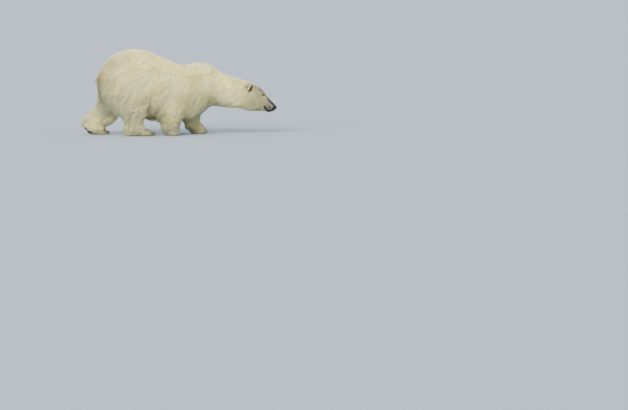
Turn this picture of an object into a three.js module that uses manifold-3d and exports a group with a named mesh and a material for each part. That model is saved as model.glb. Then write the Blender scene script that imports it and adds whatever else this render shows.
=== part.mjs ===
// A polar bear, life size, walking with its neck stretched out and its head held low.
// Millimetres. +X runs from the rump to the nose, +Y to the bear's left and +Z up.
// The origin is on the floor, under the middle of the bear's bounding box.
//
// The animal is one smooth body, built up from named masses that flow into each other, out to the
// tips of its coat. It is then parted by thin cuts into the pieces that a person would name.
import * as THREE from "three";
import { mergeVertices } from "three/addons/utils/BufferGeometryUtils.js";
import Module from "manifold-3d";

const wasm = await Module();
wasm.setup();

// ---- Driving dimensions -------------------------------------------------------------------------
const CUT = 0.6; // width of the thin cuts between the pieces
const FAR = 3000; // longer than the whole bear
const HALF_BREADTH = 420; // more than half of the bear's own breadth
const UNDER_FLOOR = -40; // where the meshing of the feet starts
const LEG_REACH = 330; // the most that a leg's flesh spreads before and behind its joints
const LEG_TOP = 900;
const PAW_TOP = 260;
const PAD_TOP = 80;
const MIDLINE_GAP = 40; // half of the chest and belly that stays with the trunk between two legs

const HEAD_PITCH = -38; // degrees that the muzzle points above the horizontal
const HEAD_AT = [885, 0, 445]; // middle of the skull
const NECK_ROOT = { at: [420, 0, 560], pitch: -8 }; // cut between the trunk and the neck
const NAPE = { at: [722, 0, 470], pitch: -20 }; // cut between the neck and the head

const EYE_RADIUS = 13.5;
const EYE_AT = [70, 56, 56]; // of the left eye, in the head's own frame
const SOCKET_RADIUS = 21;
const SOCKET_OUT = 18; // how far the socket's middle lies outside the eye's
const SOCKET_FACES = [0.45, 0.82, 0.35]; // forwards, out and up
// The closed mouth from its corner to its front, along and up in the head's own frame, and how far
// down, back and across the block reaches that parts the lower jaw.
const MOUTH = {
  corner: [164, -42],
  sag: [238, -62],
  front: [300, -6],
  below: 150,
  back: 60,
  depth: 240,
};

const PAD_DEPTH = 7; // how far the pads stand below the fur of the sole
// A claw's droop is the bend along it, in degrees, and its rise and reach are its root's place over and
// in front of the toe's end.
const CLAW = { length: 44, radius: 8, breadth: 0.8, depth: 1.25, droop: 50, rise: 10, reach: 8 };
const TOES = 5;

// The grid cell that each piece is meshed with: fine where its shape is small.
const CELL = { body: 94, limb: 68, paw: 40, pads: 30, heelPad: 32, tail: 36, neck: 74, head: 36, nose: 14 };
const CLAW_SIDES = 5;
const EYE_SIDES = 10;
const EAR_SIDES = 12;

const COAT = new THREE.MeshStandardMaterial({ color: 0xd8d2b4, roughness: 0.85 });
const TAIL_COAT = new THREE.MeshStandardMaterial({ color: 0xc9ad74, roughness: 0.85 });
const BLACK_SKIN = new THREE.MeshStandardMaterial({ color: 0x1d1c1e, roughness: 0.55 });
const EYE = new THREE.MeshStandardMaterial({ color: 0x120d0a, roughness: 0.08 });
const HORN = new THREE.MeshStandardMaterial({ color: 0x2b2724, roughness: 0.4 });

// ---- Fields: negative inside, and about the distance in millimetres near the surface --------------
const radians = THREE.MathUtils.degToRad;

// A turned frame: its X axis points pitch degrees up and yaw degrees to the left. Roll comes first.
function frameAt(origin, pitch = 0, yaw = 0, roll = 0) {
  const turn = new THREE.Euler(radians(roll), radians(-pitch), radians(yaw), "ZYX");
  return new THREE.Matrix4().makeRotationFromEuler(turn).setPosition(...origin);
}

// A field given in a frame of its own.
function within(frame, field) {
  const m = frame.clone().invert().elements;
  return (x, y, z) =>
    field(
      m[0] * x + m[4] * y + m[8] * z + m[12],
      m[1] * x + m[5] * y + m[9] * z + m[13],
      m[2] * x + m[6] * y + m[10] * z + m[14],
    );
}

// An ellipsoid.
function mass(centre, [rx, ry, rz], pitch = 0, yaw = 0, roll = 0) {
  return within(frameAt(centre, pitch, yaw, roll), (u, v, w) => {
    const near = Math.hypot(u / rx, v / ry, w / rz);
    const slope = Math.hypot(u / rx ** 2, v / ry ** 2, w / rz ** 2);
    return slope > 1e-9 ? (near * (near - 1)) / slope : -Math.min(rx, ry, rz);
  });
}

// A limb that tapers from one end to the other. Broad is its width across Y over its depth.
function limb(from, fromRadius, to, toRadius, broad = 1) {
  const along = to.map((v, i) => v - from[i]);
  const square = along[0] ** 2 + along[1] ** 2 + along[2] ** 2;
  return (x, y, z) => {
    const d = [x - from[0], y - from[1], z - from[2]];
    const raw = (d[0] * along[0] + d[1] * along[1] + d[2] * along[2]) / square;
    const t = Math.min(1, Math.max(0, raw));
    const away = Math.hypot(d[0] - t * along[0], (d[1] - t * along[1]) / broad, d[2] - t * along[2]);
    return away - fromRadius - (toRadius - fromRadius) * t;
  };
}

// The union of several fields, with the hollows between them filled over about the given softness.
function flowing(softness, ...fields) {
  return (x, y, z) => {
    let least = FAR;
    for (const field of fields) {
      const next = field(x, y, z);
      const mix = Math.max(softness - Math.abs(least - next), 0) / softness;
      least = Math.min(least, next) - (mix * mix * softness) / 4;
    }
    return least;
  };
}

const pair = (make) => [make(1), make(-1)];

// ---- Trunk and neck --------------------------------------------------------------------------------
const trunkField = flowing(
  80,
  mass([-583, 0, 645], [335, 268, 335]), // croup
  mass([-400, 0, 690], [320, 222, 290], -14), // loins
  mass([-220, 0, 504], [430, 292, 348], -4), // barrel and belly
  mass([110, 0, 515], [330, 250, 290]), // rib cage
  mass([250, 0, 652], [190, 135, 172], -8), // withers
  ...pair((side) => mass([-736, side * 135, 535], [190, 130, 235])), // buttocks
  ...pair((side) => mass([205, side * 120, 545], [165, 115, 220], -12)), // shoulder blades
);
const neckField = flowing(
  60,
  limb([330, 0, 555], 213, [560, 0, 488], 172, 0.84),
  limb([560, 0, 488], 172, [790, 0, 436], 150, 0.84),
);
const tailField = flowing(
  25,
  limb([-862, 0, 735], 46, [-908, 0, 640], 46, 0.95),
  limb([-908, 0, 640], 46, [-912, 0, 555], 24, 0.95),
);

// ---- Head, in its own frame: u along the muzzle, v to the left, w up -------------------------------
const headFrame = frameAt(HEAD_AT, HEAD_PITCH);
const fromHead = (u, v, w) => new THREE.Vector3(u, v, w).applyMatrix4(headFrame).toArray();

const skullField = flowing(
  40,
  mass([-56, 0, -14], [146, 110, 100]), // cranium
  mass([28, 0, 30], [92, 78, 74]), // forehead
  ...pair((side) => mass([0, side * 52, -50], [118, 52, 78])), // cheeks
  ...pair((side) => mass([84, side * 46, 58], [30, 20, 16], -16)), // brows
  limb([80, 0, 12], 62, [236, 0, 14], 42), // upper jaw
  limb([80, 0, 36], 40, [246, 0, 28], 25, 0.95), // bridge of the nose
  ...pair((side) => mass([220, side * 26, 0], [50, 24, 34], 6)), // upper lips
  limb([50, 0, -104], 62, [222, 0, -34], 31, 1.05), // lower jaw
);
const headField = within(headFrame, skullField);

const noseField = within(
  headFrame,
  flowing(
    10,
    mass([270, 0, 33], [24, 31, 23]), // pad
    mass([252, 0, 46], [28, 25, 14], -8), // its top, where it runs back onto the bridge
    mass([273, 0, 6], [14, 12, 24]), // groove down to the lip
  ),
);

// An ear is a thick round cup that faces forwards and out, each side's turned the other way.
const EAR = { at: [-128, 124, 2], radii: [27, 48, 61], pitch: 14, yaw: 32, roll: -34 };
const EAR_HOLLOW = { at: [24, 0, 10], radii: [22, 32, 36] };
function earSolid(side) {
  const [u, v, w] = EAR.at;
  const cup = headFrame.clone().multiply(
    frameAt([u, side * v, w], EAR.pitch, side * EAR.yaw, side * EAR.roll),
  );
  const ball = (radii, at, sides) => {
    const round = new THREE.SphereGeometry(1, sides, Math.round(sides * 0.65));
    return solidOf(round.scale(...radii).translate(...at).applyMatrix4(cup));
  };
  const hollow = ball(EAR_HOLLOW.radii, EAR_HOLLOW.at, Math.round(EAR_SIDES * 0.65));
  return ball(EAR.radii, [0, 0, 0], EAR_SIDES).subtract(hollow);
}

// ---- Legs ------------------------------------------------------------------------------------------
// Each leg runs from its root on the trunk, down through its joints, to the paw. Its piece is cut from
// the trunk by an arch over the root, which spreads to the given rear and front at the floor.
const LEGS = {
  hind_right: {
    root: mass([-590, -150, 480], [225, 132, 290]),
    joints: [
      { at: [-545, -175, 430], radius: 205 },
      { at: [-545, -205, 270], radius: 140 },
      { at: [-562, -210, 130], radius: 102 },
    ],
    heel: { at: [-585, -212, 62], radius: 66 },
    ball: { at: [-430, -214, 38], radius: 48 },
    toe: { at: [-350, -216, 26], radius: 38 },
    arch: { hip: [-560, 500], radius: 245, rear: -790, front: -260 },
    cuts: [{ at: [-545, 0, 300], pitch: 90 }, { at: [-545, 0, 105], pitch: 90 }],
    names: ["thigh", "shank", "paw"],
  },
  hind_left: {
    root: mass([-665, 150, 485], [225, 132, 290], 25),
    joints: [
      { at: [-680, 175, 450], radius: 195 },
      { at: [-815, 203, 255], radius: 142 },
      { at: [-982, 205, 146], radius: 94 },
    ],
    heel: { at: [-1004, 205, 108], radius: 62 },
    ball: { at: [-915, 207, 40], radius: 50 },
    toe: { at: [-815, 208, 27], radius: 38 },
    arch: { hip: [-640, 500], radius: 245, rear: -1300, front: -560 },
    cuts: [{ at: [-800, 0, 320], pitch: 52 }, { at: [-920, 0, 155], pitch: 62 }],
    names: ["thigh", "shank", "paw"],
  },
  fore_right: {
    root: mass([90, -150, 440], [190, 108, 240], 12),
    joints: [
      { at: [10, -170, 380], radius: 170 },
      { at: [-112, -198, 260], radius: 138 },
      { at: [-130, -205, 125], radius: 108 },
    ],
    heel: { at: [-130, -206, 56], radius: 54 },
    ball: { at: [-95, -208, 44], radius: 56 },
    toe: { at: [-62, -210, 28], radius: 40 },
    arch: { hip: [40, 440], radius: 215, rear: -330, front: 90 },
    cuts: [{ at: [-90, 0, 290], pitch: 75 }, { at: [-130, 0, 105], pitch: 88 }],
    names: ["upper_arm", "forearm", "paw"],
  },
  fore_left: {
    root: mass([205, 150, 445], [175, 108, 238], 12),
    joints: [
      { at: [165, 172, 370], radius: 155 },
      { at: [146, 200, 250], radius: 114 },
      { at: [190, 205, 120], radius: 86 },
    ],
    heel: { at: [225, 206, 52], radius: 52 },
    ball: { at: [282, 208, 42], radius: 52 },
    toe: { at: [318, 210, 28], radius: 40 },
    arch: { hip: [190, 430], radius: 200, rear: 0, front: 420 },
    cuts: [{ at: [180, 0, 290], pitch: 88 }, { at: [205, 0, 105], pitch: 84 }],
    names: ["upper_arm", "forearm", "paw"],
  },
};
const THIGH_BREADTH = 0.78; // width over depth, from the hip or shoulder to the knee or elbow
const SHANK_BREADTH = 0.92;
const HEEL_BREADTH = 1.15;
const PAW_BREADTH = 1.5;
const TOE_RADIUS = 28;
const TOE_SPREAD = 2.5; // from the first toe to the last, over half of the paw's breadth
const OUTER_TOE_BACK = 42; // how far the first and last toes end behind the middle one

// Where each toe ends, from the inner to the outer: the middle one reaches furthest.
function toesOf({ ball, toe }) {
  const side = Math.sign(toe.at[1]);
  const half = toe.radius * PAW_BREADTH;
  return Array.from({ length: TOES }, (_, i) => {
    const across = i / (TOES - 1) - 0.5;
    const back = OUTER_TOE_BACK * (2 * across) ** 2;
    return [toe.at[0] + 14 - back, toe.at[1] + side * across * TOE_SPREAD * half, toe.at[2] - 2];
  }).map((at) => ({ at, from: [ball.at[0], (ball.at[1] + at[1]) / 2, ball.at[2]] }));
}

function legField(leg) {
  const { root, joints, heel, ball, toe } = leg;
  const [hip, knee, ankle] = joints;
  return flowing(
    50,
    root,
    limb(hip.at, hip.radius, knee.at, knee.radius, THIGH_BREADTH),
    limb(knee.at, knee.radius, ankle.at, ankle.radius, SHANK_BREADTH),
    limb(ankle.at, ankle.radius, heel.at, heel.radius, HEEL_BREADTH),
    limb(heel.at, heel.radius, ball.at, ball.radius, PAW_BREADTH),
    flowing(14, ...toesOf(leg).map(({ at, from }) => limb(from, ball.radius * 0.8, at, TOE_RADIUS))),
  );
}

// The sole of the trailing hind foot shows where its heel has left the floor.
const raisedHeelField = limb([-1042, 205, 78], 26, [-990, 205, 26], 26, 2.4);

// The leathery pads: one broad pad under the foot, and a round one under each toe.
function padField(leg) {
  const { heel, ball } = leg;
  const sink = (place, radius, down) => [place[0], place[1], place[2] - radius + down];
  return flowing(
    14,
    limb(sink(heel.at, heel.radius, 14), 20, sink(ball.at, ball.radius, 8), 22, 3),
    ...toesOf(leg).map(({ at }) => mass([at[0] - 8, at[1], 8], [24, 17, 15])),
  );
}

const bodyField = flowing(85, trunkField, neckField, headField, ...Object.values(LEGS).map(legField));

// ---- Meshing ---------------------------------------------------------------------------------------
// The closed surface of a field inside a box. Each cell of a grid that the surface crosses gets one
// vertex, drawn onto the surface, and each grid edge that the surface cuts gets two triangles.
function surfaceOf(field, low, high, cell) {
  const cells = low.map((l, i) => Math.round((high[i] - l) / cell));
  const size = low.map((l, i) => (high[i] - l) / cells[i]);
  const steps = cells.map((n) => n + 2);
  const at = (i, axis) => low[axis] + (i - 0.5) * size[axis];
  const index = (i, j, k) => (i * steps[1] + j) * steps[2] + k;
  const bounded = (x, y, z) =>
    Math.max(field(x, y, z), low[0] - x, x - high[0], low[1] - y, y - high[1], low[2] - z, z - high[2]);
  const value = new Float64Array(steps[0] * steps[1] * steps[2]);
  for (let i = 0; i < steps[0]; i++)
    for (let j = 0; j < steps[1]; j++)
      for (let k = 0; k < steps[2]; k++) value[index(i, j, k)] = bounded(at(i, 0), at(j, 1), at(k, 2));

  // The middle of the places where the surface crosses the cell's edges, moved onto the surface.
  const corners = [0, 1, 2, 3, 4, 5, 6, 7].map((c) => [c >> 2, (c >> 1) & 1, c & 1]);
  const edges = corners.flatMap((a) =>
    [0, 1, 2].filter((n) => !a[n]).map((n) => [a, a.map((v, m) => (m === n ? 1 : v)), n]),
  );
  function vertexOf(...cellAt) {
    const [i, j, k] = cellAt;
    const sum = [0, 0, 0];
    let count = 0;
    for (const [a, b, along] of edges) {
      const va = value[index(i + a[0], j + a[1], k + a[2])];
      const vb = value[index(i + b[0], j + b[1], k + b[2])];
      if (va < 0 === vb < 0) continue;
      for (const n of [0, 1, 2]) sum[n] += at(cellAt[n] + a[n] + (n === along ? va / (va - vb) : 0), n);
      count++;
    }
    const start = sum.map((s) => s / count);
    const reach = Math.min(...size) * 0.45;
    const p = [...start];
    for (let pass = 0; pass < 4; pass++) {
      const here = bounded(...p);
      const slope = [0, 1, 2].map((n) => {
        const q = [...p];
        q[n] += 0.5;
        return (bounded(...q) - here) / 0.5;
      });
      const steep = Math.max(1e-6, slope[0] ** 2 + slope[1] ** 2 + slope[2] ** 2);
      for (const n of [0, 1, 2]) {
        const moved = p[n] - (here * slope[n]) / steep;
        p[n] = Math.min(start[n] + reach, Math.max(start[n] - reach, moved));
      }
    }
    return p;
  }

  const points = [];
  const known = new Map();
  function pointOf(cellAt) {
    const key = index(...cellAt);
    if (!known.has(key)) known.set(key, points.push(vertexOf(...cellAt)) - 1);
    return known.get(key);
  }
  const faces = [];
  for (let i = 0; i < steps[0]; i++)
    for (let j = 0; j < steps[1]; j++)
      for (let k = 0; k < steps[2]; k++)
        for (let axis = 0; axis < 3; axis++) {
          const next = [i, j, k];
          next[axis]++;
          if (next[axis] >= steps[axis]) continue;
          const inside = value[index(i, j, k)] < 0;
          if (inside === value[index(...next)] < 0) continue;
          const [u, v] = [(axis + 1) % 3, (axis + 2) % 3];
          const around = [[0, 0], [1, 0], [1, 1], [0, 1]].map(([a, b]) => {
            const cellAt = [i, j, k];
            cellAt[u] -= a;
            cellAt[v] -= b;
            return pointOf(cellAt);
          });
          if (!inside) around.reverse();
          const [a, b, c, d] = around;
          const span = (p, q) => Math.hypot(...points[p].map((value, n) => value - points[q][n]));
          if (span(a, c) < span(b, d)) faces.push(a, b, c, a, c, d);
          else faces.push(b, c, d, b, d, a);
        }
  return new THREE.BufferGeometry()
    .setAttribute("position", new THREE.Float32BufferAttribute(points.flat(), 3))
    .setIndex(faces);
}

// ---- Solids ----------------------------------------------------------------------------------------
function solidOf(geometry) {
  const bare = geometry.clone();
  bare.deleteAttribute("normal");
  bare.deleteAttribute("uv");
  const merged = mergeVertices(bare, 1e-3);
  return new wasm.Manifold(
    new wasm.Mesh({
      numProp: 3,
      vertProperties: new Float32Array(merged.attributes.position.array),
      triVerts: new Uint32Array(merged.index.array),
    }),
  );
}

const shape = (field, low, high, cell) => solidOf(surfaceOf(field, low, high, cell));

// All that lies beyond a plane through a place, on the side that the pitch points to.
function beyond({ at, pitch }, gap = 0) {
  const block = new THREE.BoxGeometry(2 * FAR, 2 * FAR, 2 * FAR).translate(FAR + gap, 0, 0);
  return solidOf(block.applyMatrix4(frameAt(at, pitch)));
}

// The arch that parts a leg from the trunk, widened all round by the given gap.
function archOf({ arch, heel }, gap = 0) {
  const { hip, radius, rear, front } = arch;
  const outline = new THREE.Shape();
  outline.moveTo(rear - gap, -CUT);
  outline.lineTo(hip[0] - radius - gap, hip[1]);
  outline.absarc(hip[0], hip[1], radius + gap, Math.PI, 0, true);
  outline.lineTo(front + gap, -CUT);
  const depth = HALF_BREADTH;
  const block = new THREE.ExtrudeGeometry(outline, { depth, bevelEnabled: false, curveSegments: 12 });
  const side = Math.sign(heel.at[1]);
  block.rotateX(Math.PI / 2); // from along +Z to along -Y
  block.translate(0, side > 0 ? MIDLINE_GAP - gap + depth : gap - MIDLINE_GAP, 0);
  return solidOf(block);
}

const bear = new THREE.Group();
function add(name, solid, material, shift = [0, 0, 0]) {
  const largest = solid.decompose().sort((a, b) => b.volume() - a.volume())[0];
  const { vertProperties, triVerts } = largest.getMesh();
  const geometry = new THREE.BufferGeometry()
    .setAttribute("position", new THREE.Float32BufferAttribute(vertProperties, 3))
    .setIndex(new THREE.Uint32BufferAttribute(triVerts, 1));
  geometry.translate(...shift);
  geometry.computeVertexNormals();
  const piece = new THREE.Mesh(geometry, material);
  piece.name = name;
  bear.add(piece);
}

// A claw: a cone bent down along an arc, its root at the given place, pointing along +X.
function clawAt(at) {
  const bend = radians(CLAW.droop);
  const arc = CLAW.length / bend;
  const cone = new THREE.ConeGeometry(CLAW.radius, CLAW.length, CLAW_SIDES, 3);
  cone.rotateZ(-Math.PI / 2).translate(CLAW.length / 2, 0, 0);
  const places = cone.attributes.position;
  for (let i = 0; i < places.count; i++) {
    const angle = (places.getX(i) / CLAW.length) * bend;
    const out = arc + places.getZ(i) * CLAW.depth;
    const across = places.getY(i) * CLAW.breadth;
    places.setXYZ(i, out * Math.sin(angle), across, out * Math.cos(angle) - arc);
  }
  return solidOf(cone.translate(...at));
}

// ---- The pieces ------------------------------------------------------------------------------------
const body = shape(bodyField, [-1188, -396, -72], [1188, 396, 1080], CELL.body);
const ABOVE_PADS = { at: [0, 0, PAD_DEPTH], pitch: 90 };
const FLOOR = { at: [0, 0, 0], pitch: 90 };

for (const [leg, parts] of Object.entries(LEGS)) {
  const { joints, toe, heel, cuts, names } = parts;
  const side = Math.sign(heel.at[1]);
  const inner = MIDLINE_GAP / 2;
  const [lowY, highY] = side > 0 ? [inner, HALF_BREADTH] : [-HALF_BREADTH, -inner];
  const places = [...joints, heel, toe].map(({ at }) => at[0]);
  const low = [Math.min(...places) - LEG_REACH, lowY, UNDER_FLOOR];
  const upTo = (top) => [Math.max(...places) + LEG_REACH, highY, top];
  const arch = archOf(parts);
  const limbSolid = shape(bodyField, low, upTo(LEG_TOP), CELL.limb).intersect(arch);
  const pawSolid = shape(bodyField, low, upTo(PAW_TOP), CELL.paw).intersect(arch);
  const pads = shape(padField(parts), low, upTo(PAD_TOP), CELL.pads);
  const [knee, ankle] = cuts;
  add(`${leg}_${names[0]}`, limbSolid.intersect(beyond(knee, CUT / 2)), COAT);
  add(
    `${leg}_${names[1]}`,
    limbSolid.subtract(beyond(knee, -CUT / 2)).intersect(beyond(ankle, CUT / 2)),
    COAT,
  );
  const paw = pawSolid.subtract(beyond(ankle, -CUT / 2)).intersect(beyond(ABOVE_PADS));
  add(`${leg}_pads`, pads.intersect(beyond(FLOOR)).subtract(beyond(ABOVE_PADS, -CUT)), BLACK_SKIN);
  if (leg === "hind_left") {
    const raised = shape(raisedHeelField, [-1120, 100, 8], [-920, 310, 150], CELL.heelPad);
    add(`${leg}_heel_pad`, raised.subtract(paw), BLACK_SKIN, [-CUT, 0, -CUT]);
  }
  toesOf(parts).forEach(({ at }, i) => {
    const root = [at[0] + CLAW.reach, at[1], at[2] + CLAW.rise];
    add(`${leg}_claw_${i + 1}`, clawAt(root).subtract(paw), HORN, [CUT, 0, 0]);
  });
  add(`${leg}_${names[2]}`, paw, COAT);
}

let trunk = body.subtract(beyond(NECK_ROOT));
for (const parts of Object.values(LEGS)) trunk = trunk.subtract(archOf(parts, CUT));
const tail = shape(tailField, [-1050, -120, 480], [-750, 120, 840], CELL.tail);
add("tail", tail.subtract(trunk), TAIL_COAT, [-CUT, 0, 0]);
add("trunk", trunk, COAT);

const neck = shape(bodyField, [288, -300, 180], [912, 300, 900], CELL.neck)
  .intersect(beyond(NECK_ROOT, CUT))
  .subtract(beyond(NAPE, -CUT));
add("neck", neck.subtract(archOf(LEGS.fore_left, CUT)), COAT);

// The head is cut at the nape, and the lower jaw is cut from it along the closed mouth.
const HEAD_LOW = [600, -240, 160];
const HEAD_HIGH = [1220, 240, 720];
const eyeSpheres = (radius, out = 0) =>
  pair((side) => {
    const [u, v, w] = EYE_AT;
    const [forwards, outwards, up] = SOCKET_FACES;
    const away = new THREE.Vector3(forwards, side * outwards, up).setLength(out);
    const at = fromHead(u + away.x, side * v + away.y, w + away.z);
    const ball = new THREE.SphereGeometry(radius, EYE_SIDES, Math.round(EYE_SIDES * 0.6));
    return solidOf(ball.translate(...at));
  });
const nose = shape(noseField, [1060, -50, 220], [1200, 50, 360], CELL.nose);

// The lower jaw, parted from the head along the line of the closed mouth and down from its corner.
function jawBlock(gap = 0) {
  const { corner, sag, front, below, back, depth } = MOUTH;
  const outline = new THREE.Shape();
  outline.moveTo(corner[0] - gap, corner[1] + gap);
  outline.quadraticCurveTo(sag[0], sag[1] + gap, front[0] + gap, front[1] + gap);
  outline.lineTo(front[0] + gap, corner[1] - below);
  outline.lineTo(corner[0] - back - gap, corner[1] - below);
  const block = new THREE.ExtrudeGeometry(outline, { depth, bevelEnabled: false, curveSegments: 8 });
  block.rotateX(Math.PI / 2).translate(0, depth / 2, 0);
  return solidOf(block.applyMatrix4(headFrame));
}

let head = shape(bodyField, HEAD_LOW, HEAD_HIGH, CELL.head).intersect(beyond(NAPE, CUT));
for (const hole of [...eyeSpheres(EYE_RADIUS + CUT), ...eyeSpheres(SOCKET_RADIUS, SOCKET_OUT)])
  head = head.subtract(hole);

add("lower_jaw", head.intersect(jawBlock()), COAT);
head = head.subtract(jawBlock(CUT));
add("head", head, COAT);
eyeSpheres(EYE_RADIUS).forEach((eye, i) => add(i ? "eye_right" : "eye_left", eye, EYE));
for (const side of [1, -1])
  add(side > 0 ? "ear_left" : "ear_right", earSolid(side).subtract(head), COAT, [0, side * CUT, 0]);
add("nose", nose.subtract(head), BLACK_SKIN, [CUT, 0, 0]);

const middle = new THREE.Box3().setFromObject(bear, true).getCenter(new THREE.Vector3());
bear.position.set(-middle.x, -middle.y, 0);

export default bear;
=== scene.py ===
"""Skin, coat, eyes, nose, claws and pads of a life-size polar bear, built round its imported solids.

Metres. +X runs to the nose, +Y to the bear's left and +Z up, and the floor is at z = 0. One skin lies
inside the solids by the depth of the coat, and some 346,000 closed locks of fur grow from it.
"""
import math

import bpy
import numpy as np
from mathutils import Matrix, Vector
from mathutils.kdtree import KDTree


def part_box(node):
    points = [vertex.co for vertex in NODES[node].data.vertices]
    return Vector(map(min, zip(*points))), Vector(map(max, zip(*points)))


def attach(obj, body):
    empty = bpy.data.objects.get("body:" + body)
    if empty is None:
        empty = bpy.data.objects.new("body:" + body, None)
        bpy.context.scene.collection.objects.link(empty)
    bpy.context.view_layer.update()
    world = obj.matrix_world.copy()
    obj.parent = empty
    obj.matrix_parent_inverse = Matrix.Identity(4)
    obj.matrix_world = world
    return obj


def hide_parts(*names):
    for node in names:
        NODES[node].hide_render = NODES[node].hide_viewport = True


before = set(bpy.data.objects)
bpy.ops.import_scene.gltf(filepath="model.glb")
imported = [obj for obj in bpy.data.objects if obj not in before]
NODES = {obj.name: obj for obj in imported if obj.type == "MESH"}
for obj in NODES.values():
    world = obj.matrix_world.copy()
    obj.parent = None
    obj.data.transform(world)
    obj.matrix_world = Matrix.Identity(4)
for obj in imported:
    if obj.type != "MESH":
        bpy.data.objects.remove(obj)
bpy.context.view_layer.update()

bl_info = {
    "name": "Walking Polar Bear",
    "version": (1, 0, 0),
    "blender": (4, 5, 0),
    "location": "View3D > Sidebar > Polar Bear",
    "description": "Skin, coat, eyes, nose, claws and pads of a life-size polar bear, and its studio",
    "category": "Object",
}

SMALL_NODES = ("claw", "pad", "eye", "nose")  # all the others are flesh
FLESH = sorted(name for name in NODES if not any(word in name for word in SMALL_NODES))
PADS = sorted(name for name in NODES if "pad" in name)
FEET = ("fore_left", "fore_right", "hind_left", "hind_right")
FAR = 9.0  # more than any distance on the bear


# ---- Places on the bear ----
def middle(node):
    low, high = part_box(node)
    return (np.array(low) + np.array(high)) / 2


MUZZLE_DROP = math.radians(38)  # below the horizontal
ALONG = np.array([math.cos(MUZZLE_DROP), 0.0, -math.sin(MUZZLE_DROP)])  # from the skull to the nose
ABOVE = np.array([math.sin(MUZZLE_DROP), 0.0, math.cos(MUZZLE_DROP)])
LEFT = np.array([0.0, 1.0, 0.0])
UP = np.array([0.0, 0.0, 1.0])
EYE_ALONG, EYE_ABOVE = 0.070, 0.056  # of the eyes, from the middle of the skull
EYE_TURN = math.radians(25)  # from the line of the muzzle up to that of the lids
EYES = {1: middle("eye_left"), -1: middle("eye_right")}  # by the side of the bear that they are on
SKULL = (EYES[1] + EYES[-1]) / 2 - EYE_ALONG * ALONG - EYE_ABOVE * ABOVE
SOLIDS_SKULL = np.array([0.885, 0.0, 0.445])  # the same place before the solids were centred
EAR_ALONG, EAR_OUT, EAR_ABOVE = -0.128, 0.124, 0.002  # from the middle of the skull
EAR_HALF = (0.032, 0.052, 0.066)  # half of the ear's thickness, breadth and height
EAR_LEAN, EAR_FOOT = 0.28, -0.03  # the ear's lean, and how far below its middle that starts
EAR_GROWTH = 1.28  # the skin's ears over the solids'
CUP_HALF = (0.035, 0.042)  # half of the breadth and height of the ear's cup
CUP_IN, CUP_UP = 0.009, 0.008  # its middle from the ear's, towards the other ear and up
TAIL = middle("tail")
TAIL_HALF = np.array([0.050, 0.060, 0.125])  # half of its length, breadth and height

# The closed mouth from its corner to the nose, along and above the skull's middle.
MOUTH = np.array([(168, -37), (192, -45), (218, -46), (246, -37), (263, -14), (270, 6)]) / 1000

# Each leg from the hip or shoulder, by the knee or elbow, the ankle or wrist, the heel and the ball of
# the foot to the toes: x, y, z and radius in millimetres, as in the solids.
HEEL, BALL = 3, 4  # their places in each row
LEGS = {
    "hind_right": [(-545, -175, 430, 205), (-545, -205, 270, 140), (-562, -210, 130, 102),
                   (-585, -212, 62, 66), (-430, -214, 38, 48), (-350, -216, 26, 38)],
    "hind_left": [(-680, 175, 450, 195), (-815, 203, 255, 142), (-982, 205, 146, 94),
                  (-1004, 205, 108, 62), (-915, 207, 40, 50), (-815, 208, 27, 38)],
    "fore_right": [(10, -170, 380, 170), (-112, -198, 260, 138), (-130, -205, 125, 108),
                   (-130, -206, 56, 54), (-95, -208, 44, 56), (-62, -210, 28, 40)],
    "fore_left": [(165, 172, 370, 155), (146, 200, 250, 114), (190, 205, 120, 86),
                  (225, 206, 52, 52), (282, 208, 42, 52), (318, 210, 28, 40)],
}


def ramp(value, start, end):
    """0 up to start and 1 from end on, with a smooth rise between them. Start may be the higher."""
    t = np.clip((value - start) / (end - start), 0, 1)
    return t * t * (3 - 2 * t)


def between(value, foot, start, end, top):
    """0 up to foot, 1 from start to end, and 0 again from top on."""
    return ramp(value, foot, start) * ramp(value, top, end)


def hump(value, centre, reach):
    """1 at the centre, falling off to nearly 0 two reaches away."""
    return np.exp(-((value - centre) / reach) ** 2)


def spot(value, other, centre, reach):
    """The same for two values, with a centre and a reach for each."""
    return np.exp(-((value - centre[0]) / reach[0]) ** 2 - ((other - centre[1]) / reach[1]) ** 2)


def unit(vectors):
    return vectors / np.maximum(np.linalg.norm(vectors, axis=-1, keepdims=True), 1e-9)


def mixed(a, b, share):
    """From a to b by share, for numbers or for rows of vectors."""
    share = share[:, None] if np.ndim(a) > 1 or np.ndim(b) > 1 else share
    return a * (1 - share) + b * share


def skull_place(points):
    """Along the muzzle, to the left and above, from the middle of the skull."""
    away = points - SKULL
    return away @ ALONG, away @ LEFT, away @ ABOVE


def from_skull(along, left, above):
    return SKULL + along * ALONG + left * LEFT + above * ABOVE


def ear_axis(side):
    """Out of the ear's cup."""
    return unit(0.82 * ALONG + 0.50 * side * LEFT + 0.25 * ABOVE)


def ear_middle(side):
    return from_skull(EAR_ALONG, side * EAR_OUT, EAR_ABOVE)


def ear_place(points, side, leaning=True):
    """The ear's own coordinates: out of its cup, across it and up it. The skin's ears lean forwards and
    are larger."""
    face = ear_axis(side)
    tall = 0.85 * ABOVE + 0.50 * side * LEFT
    tall = unit(tall - face * (tall @ face))
    away = points - ear_middle(side)
    if leaning:
        up = np.maximum(away @ tall - EAR_FOOT, 0) / (1 + EAR_LEAN * tall[0])
        away = (away - EAR_LEAN * up[:, None] * [1, 0, 0]) / EAR_GROWTH
    return away @ face, away @ np.cross(tall, face), away @ tall


def ear_shell(points, side, leaning=True):
    """How far from the ear's middle each point lies, 1 on its outside."""
    out, across, up = ear_place(points, side, leaning)
    return np.sqrt((out / EAR_HALF[0]) ** 2 + (across / EAR_HALF[1]) ** 2 + (up / EAR_HALF[2]) ** 2)


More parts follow.
